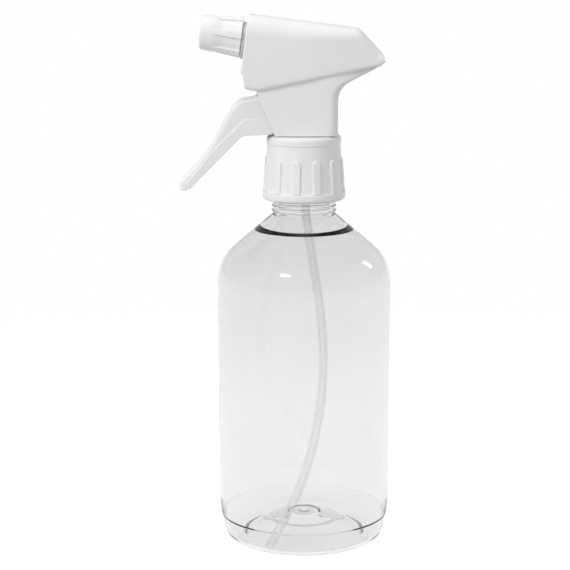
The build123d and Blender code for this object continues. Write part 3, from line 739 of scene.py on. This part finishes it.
def make_shroud():
    side = rounded(SHROUD_SIDE, SHROUD_SIDE_ROUND, closed=True, degrees=8.0)
    first = min(p.x for p in side)
    last = max(p.x for p in side)
    opens, closes = SHROUD_OPEN
    waist = 45.0
    stations = [first + d for d in SHROUD_FRONT_STEPS]
    stations += [opens + (waist - opens) * k / 18 for k in range(19)]
    stations += [waist + (closes - waist) * k / 16 for k in range(1, 17)]
    stations += [closes + (last - closes) * sin for sin, cos in quarter_turn(16, first=1)]
    low, high = edge_heights(side, first + SHROUD_EDGE)
    rows = [
        shroud_ring(first + SHROUD_EDGE * (1 - sin), low, high, shroud_half_width(first), SHROUD_EDGE * (1 - cos))
        for sin, cos in reversed(quarter_turn(4)[:-1])
    ]
    front = rows[0]
    hub = on_axis(first, -COLLAR_DROP)
    inner = []
    for share in (0.0, 0.3, 0.6, 0.85):
        ring = []
        for x, y, z in front:
            away = Vector((y, (z - hub[1]) / math.cos(HEAD_TILT)))
            hole = away.normalized() * COLLAR_HOLE_R
            spot = hole.lerp(away, share)
            place = on_axis(first, spot.y - COLLAR_DROP)
            ring.append((place[0], spot.x, place[1]))
        inner.append(ring)
    rows = inner + rows
    for u in stations:
        low, high = edge_heights(side, u)
        rows.append(shroud_ring(u, low, high, shroud_half_width(u)))
    bm = bmesh.new()
    skin(bm, rows, around=True)
    doomed = []
    for face in bm.faces:
        middle = face.calc_center_median() / MM
        u, w = along_axis(middle.x, middle.z)
        low = edge_heights(side, min(max(u, first), last))[0]
        narrow = min(SHROUD_OPEN_HALF, shroud_half_width(u) - SHROUD_LIP)
        if opens < u < closes and abs(middle.y) < narrow + 0.01 and w < low + 0.3:
            doomed.append(face)
    bmesh.ops.delete(bm, geom=doomed, context="FACES")
    shroud = piece_from("shroud_cover", bm, HEAD_WHITE)
    finish_edges(shroud, SHROUD_WALL, 0.25)
    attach(shroud, "head")
    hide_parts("shroud")


# ------------------------------------------------------------ neck housing and trigger
def length_at(path, point):
    """How far along a path the place nearest to a point lies."""
    point = Vector(point)
    best, run, at = math.inf, 0.0, 0.0
    for a, b in zip(path, path[1:]):
        span = b - a
        share = 0 if span.length < TINY else min(1.0, max(0.0, (point - a).dot(span) / span.length_squared))
        gap = (a.lerp(b, share) - point).length
        if gap < best:
            best, at = gap, run + share * span.length
        run += span.length
    return at


def point_at(path, length):
    run = 0.0
    for a, b in zip(path, path[1:]):
        step = (b - a).length
        if step > TINY and run + step >= length:
            return a.lerp(b, (length - run) / step)
        run += step
    return path[-1].copy()


def paired_rows(front, rear, pairs, steps):
    """Matching places on two guide lines: pairs fixes some of them, and steps rows go between each."""
    marks = [(length_at(front, f), length_at(rear, r)) for f, r in pairs]
    out = []
    for (fa, ra), (fb, rb), count in zip(marks, marks[1:], steps):
        for k in range(count):
            share = k / count
            out.append((point_at(front, fa + (fb - fa) * share), point_at(rear, ra + (rb - ra) * share)))
    out.append((point_at(front, marks[-1][0]), point_at(rear, marks[-1][1])))
    return out


HOUSING_HALF = 10.4
HOUSING_EDGE = 3.5
HOUSING_WALL = 1.4
HOUSING_TAPER = 4.5


def housing_half_width(x):
    return HOUSING_HALF - HOUSING_TAPER * smooth_step(x, 8, 40)


def make_housing():
    front = rounded([(-12.0, 174.5), (-19.5, 193.0), (-18.0, 196.5)], [0, 0.4, 0])
    rear = rounded([(14.1, 174.5), (14.1, 194.3), (31.0, 202.5), (28.0, 205.2)], [0, 9.0, 0.6, 0], degrees=5.0)
    pairs = [
        ((-12.0, 174.5), (14.1, 174.5)), ((-15.3, 182.6), (14.1, 182.0)), ((-18.0, 189.3), (14.3, 189.0)),
        ((-19.5, 193.0), (17.0, 194.6)), ((-18.0, 196.5), (24.0, 199.1)), ((-18.0, 196.5), (31.0, 202.5)),
        ((-18.0, 196.5), (28.0, 205.2)),
    ]
    rows = []
    for f, r in paired_rows(front, rear, pairs, [8, 8, 10, 8, 6, 3]):
        depth = (r - f).length
        line = []
        reach = depth - HOUSING_EDGE
        for k in range(15):
            p = f.lerp(r, reach / depth * k / 14)
            line.append((p.x, housing_half_width(p.x), p.y))
        for sin, cos in quarter_turn(8, first=1):
            p = f.lerp(r, (reach + HOUSING_EDGE * sin) / depth)
            line.append((p.x, housing_half_width(p.x) - HOUSING_EDGE * (1 - cos), p.y))
        flat = line[-1][1]
        line += [(r.x, flat * share, r.y) for share in (0.66, 0.33)]
        rows.append([(x, -y, z) for x, y, z in line] + [(r.x, 0.0, r.y)] + [(x, y, z) for x, y, z in reversed(line)])
    bm = bmesh.new()
    skin(bm, rows)
    housing = piece_from("sprayer_neck_housing", bm, HEAD_WHITE)
    finish_edges(housing, HOUSING_WALL, 0.22)
    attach(housing, "head")
    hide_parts("neck_housing")


TRIGGER_HALF = 8.2
TRIGGER_CORNER = 1.8
TRIGGER_STEP = 0.35
TRIGGER_HOLLOW = 0.7
TRIGGER_WALL = 1.45
TRIGGER_RIM = 0.2
TRIGGER_BEVEL = 0.22
TRIGGER_BEND = 0.8
NOSE_X, NOSE_Z = -17.78, 180.99
NOSE_R = 1.6
NOSE_HALF = 7.1
TRIGGER_RIDGE = [(-9.0, 181.0), (-24.6, 181.3), (-36.1, 169.9), (-49.8, 155.2), (-53.5, 151.4)]


def ridge_reach(rear_point, front_point):
    """How far from the rear edge the ridge line crosses this row."""
    depth = (front_point - rear_point).length
    for a, b in zip(TRIGGER_RIDGE, TRIGGER_RIDGE[1:]):
        a, b = Vector(a), Vector(b)
        d, e = front_point - rear_point, b - a
        cross = d.x * e.y - d.y * e.x
        if abs(cross) < TINY:
            continue
        gap = a - rear_point
        t = (gap.x * e.y - gap.y * e.x) / cross
        s = (gap.x * d.y - gap.y * d.x) / cross
        if 0 <= t <= 1 and 0 <= s <= 1:
            return t * depth
    return 0.0


def trigger_section(depth, ridge):
    """Outer and inner half of the wall across one row, as (distance from the rear edge, half width) places."""
    wall = min(TRIGGER_WALL, 0.3 * depth)
    ease = min(TRIGGER_RIM, 0.2 * wall)
    corner = min(TRIGGER_CORNER, depth * 0.45)
    ridge = max(min(ridge, depth - corner - 0.5), 0.12 * depth)
    step = TRIGGER_STEP * smooth_step(ridge, 0.3, 1.2) * smooth_step(depth, 1, 5)
    bevel = min(TRIGGER_BEVEL, 0.05 * depth)
    outer = [(0, TRIGGER_HALF - ease)]
    outer += [(ease + (ridge - bevel - ease) * k / 4, TRIGGER_HALF) for k in range(5)]
    start, end, half = ridge + bevel, depth - corner, TRIGGER_HALF - step
    outer += [(start + (end - start) * k / 6, half) for k in range(7)]
    outer += [(end + corner * sin, half - corner * (1 - cos)) for sin, cos in quarter_turn(6, first=1)]
    sink = TRIGGER_HOLLOW * smooth_step(depth, 3, 9)
    shares = (0.93, 0.8, 0.6, 0.4, 0.2, 0.0)
    outer += [(depth - sink * (1 - share ** 2.5), (half - corner) * share) for share in shares]
    cheek, front = TRIGGER_HALF - wall, depth - wall
    bend = min(TRIGGER_BEND, 0.3 * wall)
    inner = [(front - sink * (1 - share ** 2.5), (cheek - bend) * share) for share in reversed(shares)]
    inner += [(front - bend * (1 - cos), cheek - bend * (1 - sin)) for sin, cos in quarter_turn(4)]
    inner += [(ease + (front - bend - ease) * (1 - k / 5), cheek) for k in range(1, 6)]
    return outer, inner + [(0, cheek + ease)]


def make_trigger():
    """The lever, and the bar across its hollow that pushes the piston."""
    front = rounded(
        [(-14.9, 193.28), (-18.4, 193.4), (-20.5, 189.9), (-27.0, 188.9), (-30.0, 186.0), (-40.1, 168.1),
         (-46.1, 160.7), (-51.8, 155.2), (-52.0, 152.3), (-50.6, 151.5)],
        [0, 2.0, 1.5, 2.0, 3.0, 25.0, 14.0, 1.2, 1.2, 0],
    )
    rear = rounded(
        [(-14.3, 193.25), (-12.4, 193.0), (-10.9, 178.5), (-12.8, 175.1), (-25.7, 174.4), (-47.2, 152.6),
         (-49.8, 151.5)],
        [0, 2.0, 2.0, 1.0, 4.0, 2.5, 0],
    )
    pairs = [
        ((-14.9, 193.28), (-14.3, 193.25)), ((-18.4, 193.4), (-12.4, 193.0)), ((-20.5, 189.9), (-11.9, 188.0)),
        ((-27.0, 188.9), (-11.1, 181.2)), ((-30.0, 186.0), (-12.8, 174.8)), ((-33.9, 179.1), (-22.5, 174.2)),
        ((-37.3, 173.1), (-27.6, 172.2)), ((-40.1, 168.1), (-31.5, 168.3)), ((-46.1, 160.7), (-39.3, 160.5)),
        ((-51.3, 155.6), (-46.9, 153.0)), ((-52.0, 152.3), (-48.8, 151.9)), ((-50.6, 151.5), (-49.8, 151.5)),
    ]
    rows = []
    for f, r in paired_rows(front, rear, pairs, [5, 5, 7, 7, 7, 7, 7, 10, 10, 6, 5]):
        depth = (f - r).length
        outer, inner = trigger_section(depth, ridge_reach(r, f))
        ring = [(t, -y) for t, y in outer] + [(t, y) for t, y in reversed(outer[:-1])]
        ring += [(t, y) for t, y in reversed(inner[1:])] + [(t, -y) for t, y in inner]
        places = [(r.lerp(f, t / depth), y) for t, y in ring]
        rows.append([(p.x, y, p.y) for p, y in places])
    bm = bmesh.new()
    skin(bm, rows, around=True)
    for row in (rows[0], rows[-1]):
        bm.faces.new(new_verts(bm, row))
    trigger = piece_from("squeeze_trigger", bm, HEAD_WHITE)
    bm = bmesh.new()
    bm.from_mesh(trigger.data)
    nose = rounded([(0, -NOSE_HALF), (NOSE_R, -NOSE_HALF), (NOSE_R, NOSE_HALF), (0, NOSE_HALF)], [0, 0.3, 0.3, 0])
    bar = []
    for radius, y in divided(nose, lambda a, b: 3.0):
        bar.append([(NOSE_X + radius * math.cos(a), y, NOSE_Z + radius * math.sin(a)) for a in even_angles(24)])
    skin(bm, bar, around=True)
    tidy(bm, FINISHED_CREASE_DEG)
    bm.to_mesh(trigger.data)
    bm.free()
    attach(trigger, "trigger")
    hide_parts("trigger")


# ------------------------------------------------------------ dip tube
TUBE_PLANE = math.radians(62.6)
TUBE_ROUTE = [
    (0.0, 167.0), (0.0, 145.5), (6.8, 122.0), (15.6, 98.0), (19.4, 72.0), (14.8, 47.0), (1.5, 26.0), (-15.5, 12.0),
    (-31.2, 3.6),
]
TUBE_R = 1.95
TUBE_WALL = 0.6


def make_dip_tube():
    curve = bpy.data.curves.new("dip_tube_line", "CURVE")
    curve.dimensions = "3D"
    curve.bevel_depth = TUBE_R * MM
    curve.bevel_resolution = 6
    curve.resolution_u = 16
    line = curve.splines.new("NURBS")
    line.points.add(len(TUBE_ROUTE) - 1)
    for point, (s, z) in zip(line.points, TUBE_ROUTE):
        point.co = (s * math.cos(TUBE_PLANE) * MM, s * math.sin(TUBE_PLANE) * MM, z * MM, 1)
    line.order_u = 3
    line.use_endpoint_u = True
    tube = add_object("curved_dip_tube", curve)
    graph = bpy.context.evaluated_depsgraph_get()
    mesh = bpy.data.meshes.new_from_object(tube.evaluated_get(graph), depsgraph=graph)
    bpy.data.objects.remove(tube)
    bm = bmesh.new()
    bm.from_mesh(mesh)
    tube = piece_from("curved_dip_tube", bm, TUBE_MILKY)
    finish_edges(tube, TUBE_WALL)
    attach(tube, "head")
    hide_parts("dip_tube")


# ------------------------------------------------------------ springs
OUTLET_SPRING_FRONT = 11.431
OUTLET_SPRING_LENGTH = 9.0
RETURN_COIL_R = 3.6
RETURN_WIRE_R = 0.4
OUTLET_COIL_R = 1.8
OUTLET_WIRE_R = 0.25


def make_return_spring(tree):
    low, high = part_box("return_spring")
    spring = grow(empty_piece("return_coil", STEEL), tree, {
        "Turns": 6.0, "Mean radius": RETURN_COIL_R * MM, "Wire radius": RETURN_WIRE_R * MM,
        "Length": (high.x - low.x) - 2 * RETURN_WIRE_R * MM, "Steps": 36})
    height = (low.z + high.z) / 2
    for vert in spring.data.vertices:
        a, b, c = vert.co
        vert.co = (low.x + RETURN_WIRE_R * MM + c, b, height - a)
    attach(spring, "head")
    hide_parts("return_spring")
    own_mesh(spring)


def make_outlet_spring(tree):
    spring = grow(empty_piece("outlet_coil", STEEL), tree, {
        "Turns": 8.0, "Mean radius": OUTLET_COIL_R * MM, "Wire radius": OUTLET_WIRE_R * MM,
        "Length": (OUTLET_SPRING_LENGTH - 2 * OUTLET_WIRE_R) * MM, "Steps": 30})
    to_head(spring, OUTLET_SPRING_FRONT + OUTLET_WIRE_R)
    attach(spring, "head")
    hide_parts("outlet_spring")
    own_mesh(spring)


def make_springs():
    tree = coil_tree(STEEL)
    make_return_spring(tree)
    make_outlet_spring(tree)


CAD_FINISHES = {
    "closure_gasket": SEAL_SOFT, "piston_seal": SEAL_SOFT, "vent_seal": SEAL_SOFT, "nozzle_ring": SEAL_SOFT,
    "tube_retainer": INNER_NATURAL, "pump_body": INNER_NATURAL, "piston": INNER_NATURAL,
    "trigger_pin": INNER_NATURAL, "swirl_insert": INNER_NATURAL, "spray_barrel": BARREL_PAINTED_SHADE,
    "inlet_ball": STEEL, "outlet_ball": STEEL,
}


def finish_inner_pieces():
    for name, material in CAD_FINISHES.items():
        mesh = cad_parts[name].data
        mesh.materials.clear()
        mesh.materials.append(material)


# ------------------------------------------------------------ studio
FLOOR_HALF = 9.0
FLOOR_NEAR, FLOOR_FAR = 0.16, 0.5
GREY_FLOOR_GLOW = 0.78
AMBIENT = 0.56


def make_floor():
    """White sweep: it takes a soft shadow near the object and fades to pure white away from it."""
    mesh = bpy.data.meshes.new("studio_floor")
    s = FLOOR_HALF
    mesh.from_pydata([(-s, -s, 0), (s, -s, 0), (s, s, 0), (-s, s, 0)], [], [(0, 1, 2, 3)])
    material, tree, shader = new_material("floor_white")
    shader.inputs["Base Color"].default_value = (0.5, 0.5, 0.5, 1)
    shader.inputs["Roughness"].default_value = 0.9
    rays = node(tree, "ShaderNodeLightPath").outputs
    seen = calc(tree, "MAXIMUM", calc(tree, "MAXIMUM", rays["Is Camera Ray"], rays["Is Transmission Ray"]),
                rays["Is Glossy Ray"])
    glow = node(tree, "ShaderNodeEmission", {"Color": (1, 1, 1, 1), "Strength": GREY_FLOOR_GLOW})
    matt = node(tree, "ShaderNodeBsdfDiffuse", {"Color": (0.35, 0.35, 0.35, 1)})
    both = node(tree, "ShaderNodeAddShader", {0: glow.outputs[0], 1: matt.outputs[0]})
    place = node(tree, "ShaderNodeTexCoord").outputs["Object"]
    away = node(tree, "ShaderNodeVectorMath", {0: place}, operation="LENGTH").outputs["Value"]
    far = ranged(tree, away, FLOOR_NEAR, FLOOR_FAR, smooth=True)
    plain = node(tree, "ShaderNodeEmission", {"Color": (1, 1, 1, 1), "Strength": 1.0})
    show(tree, blend_shaders(tree, seen, shader, blend_shaders(tree, far, both, plain)))
    mesh.materials.append(material)
    floor = add_object("studio_floor", mesh)


def make_world():
    """White where it is seen, a soft fill for the object, and a sheen that is brighter low down."""
    world = bpy.data.worlds.new("studio")
    world.use_nodes = True
    tree = world.node_tree
    rays = node(tree, "ShaderNodeLightPath").outputs
    place = node(tree, "ShaderNodeTexCoord").outputs["Generated"]
    height = node(tree, "ShaderNodeSeparateXYZ", {0: place}).outputs[2]
    sheen = ranged(tree, height, -0.1, 0.8, 0.7, 0.3)
    soft = node(tree, "ShaderNodeMix", {0: rays["Is Glossy Ray"], 2: AMBIENT, 3: sheen}, data_type="FLOAT").outputs[0]
    white = calc(tree, "MAXIMUM", rays["Is Camera Ray"], rays["Is Transmission Ray"])
    strength = node(tree, "ShaderNodeMix", {0: white, 2: soft, 3: 1.0}, data_type="FLOAT").outputs[0]
    back = tree.nodes["Background"]
    back.inputs["Color"].default_value = (1, 1, 1, 1)
    tree.links.new(strength, back.inputs["Strength"])
    bpy.context.scene.world = world


def add_lamp(name, place, target, size, power, lit=True, mirrored=True):
    """A softbox; lit=False leaves only its reflection, mirrored=False hides that."""
    lamp = add_object(name, bpy.data.lights.new(name, "AREA"))
    lamp.data.shape = "RECTANGLE"
    lamp.data.size, lamp.data.size_y = size
    lamp.data.energy = power
    lamp.location = place
    lamp.visible_diffuse = lit
    lamp.visible_glossy = mirrored
    lamp.visible_transmission = False
    lamp.rotation_mode = "QUATERNION"
    lamp.rotation_quaternion = (Vector(place) - Vector(target)).to_track_quat("Z", "Y")


def light_studio():
    make_world()
    middle = (0, 0, 0.13)
    add_lamp("key_softbox", (-0.85, -0.75, 0.85), middle, (0.45, 0.45), 7.4, mirrored=False)
    add_lamp("top_softbox", (-0.1, 0.1, 1.1), middle, (0.5, 0.5), 2.2, mirrored=False)
    add_lamp("right_softbox", (0.95, -0.55, 0.45), middle, (0.25, 0.5), 0.8, mirrored=False)
    add_lamp("window_glint", (-0.52, -0.93, 0.98), middle, (0.3, 0.16), 2.0, lit=False)
    add_lamp("side_glint", (0.95, 0.42, 0.66), middle, (0.16, 0.3), 1.0, lit=False)


place_camera()
make_bottle()
make_closure()
make_nozzle()
make_shroud()
make_housing()
make_trigger()
make_dip_tube()
make_springs()
finish_inner_pieces()
make_floor()
light_studio()
bpy.context.scene.view_settings.view_transform = "Standard"
